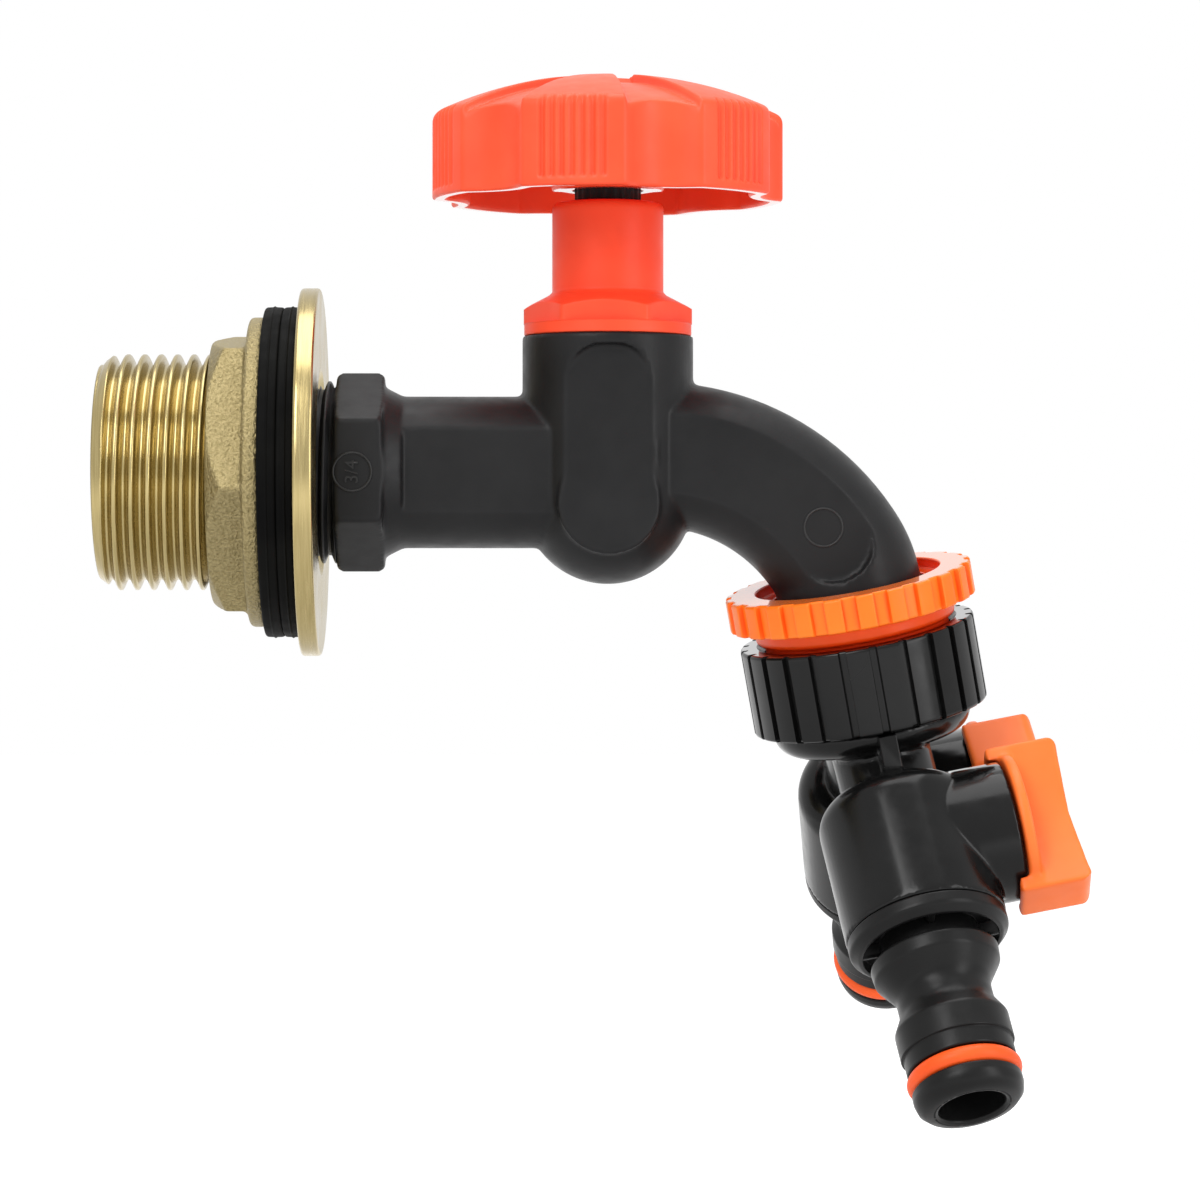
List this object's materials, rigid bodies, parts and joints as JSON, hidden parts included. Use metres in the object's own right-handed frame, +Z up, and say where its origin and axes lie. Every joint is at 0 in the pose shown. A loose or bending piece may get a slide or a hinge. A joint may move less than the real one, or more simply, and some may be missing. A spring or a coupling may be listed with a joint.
{
  "type": "water butt tap",
  "caption": "Garden tap for a water butt: brass tank connector with washers and back nut, black bib tap with red handwheel, and a valved two-way distributor with hose nipples.",
  "frame": {"origin": "on the inlet axis where the two rubber washers meet, which is the tank wall", "axes": "+X out of the tank wall along the inlet, +Z up along the spindle, +Y to the tap's left"},
  "size_m": [0.1384, 0.0895, 0.1452],
  "materials": {
    "brass": "turned and cast",
    "rubber": "moulded",
    "body_black": "fine texture",
    "gloss_black": "gloss",
    "red_plastic": "satin",
    "orange_plastic": "satin",
    "orange_rubber": "moulded",
    "dark_plastic": "satin",
    "valve_brass": "turned",
    "steel": "plain",
    "seat_white": "plain"
  },
  "bodies": {
    "tap": {"brass_spigot": "brass", "backnut": "brass", "outer_rubber_washer": "rubber", "inner_rubber_washer": "rubber", "bonnet_seal": "rubber", "reducer_seal": "rubber", "nut_seal": "rubber", "tap_body": "body_black", "swivel_nut": "gloss_black", "distributor_body": "gloss_black", "nipple_front": "gloss_black", "nipple_rear": "gloss_black", "bonnet": "red_plastic", "reducer_ring": "orange_plastic", "nipple_oring_front": "orange_rubber", "nipple_oring_rear": "orange_rubber", "upper_ball_seat_front": "seat_white", "upper_ball_seat_rear": "seat_white", "lower_ball_seat_front": "seat_white", "lower_ball_seat_rear": "seat_white"},
    "jumper": {"jumper": "valve_brass", "valve_washer": "rubber", "washer_screw": "steel"},
    "handwheel": {"spindle": "dark_plastic", "spindle_oring": "rubber", "handwheel": "red_plastic", "handle_screw": "steel"},
    "front_lever": {"lever_front": "orange_plastic", "stem_front": "dark_plastic", "stem_oring_front": "rubber", "ball_front": "dark_plastic"},
    "rear_lever": {"lever_rear": "orange_plastic", "stem_rear": "dark_plastic", "stem_oring_rear": "rubber", "ball_rear": "dark_plastic"}
  },
  "joints": [
    {"name": "stem_rise", "type": "slide", "parent": "tap", "child": "jumper", "axis": [0, 0, 1], "range_m": [0, 0.005]},
    {"name": "handle_turn", "type": "hinge", "parent": "jumper", "child": "handwheel", "pos_m": [0.0455, 0, 0.0383], "axis": [0, 0, 1], "range_deg": [0, 900]},
    {"name": "front_lever_turn", "type": "hinge", "parent": "tap", "child": "front_lever", "pos_m": [0.08686, -0.00969, -0.0529], "axis": [0.9816, 0.0355, 0.1875], "range_deg": [0, 90]},
    {"name": "rear_lever_turn", "type": "hinge", "parent": "tap", "child": "rear_lever", "pos_m": [0.08507, 0.01902, -0.04895], "axis": [0.9816, 0.0355, 0.1875], "range_deg": [0, 90]}
  ],
  "couplings": [
    {"joint": "stem_rise", "follows": "handle_turn", "m_per_rad": 0.00031831}
  ]
}
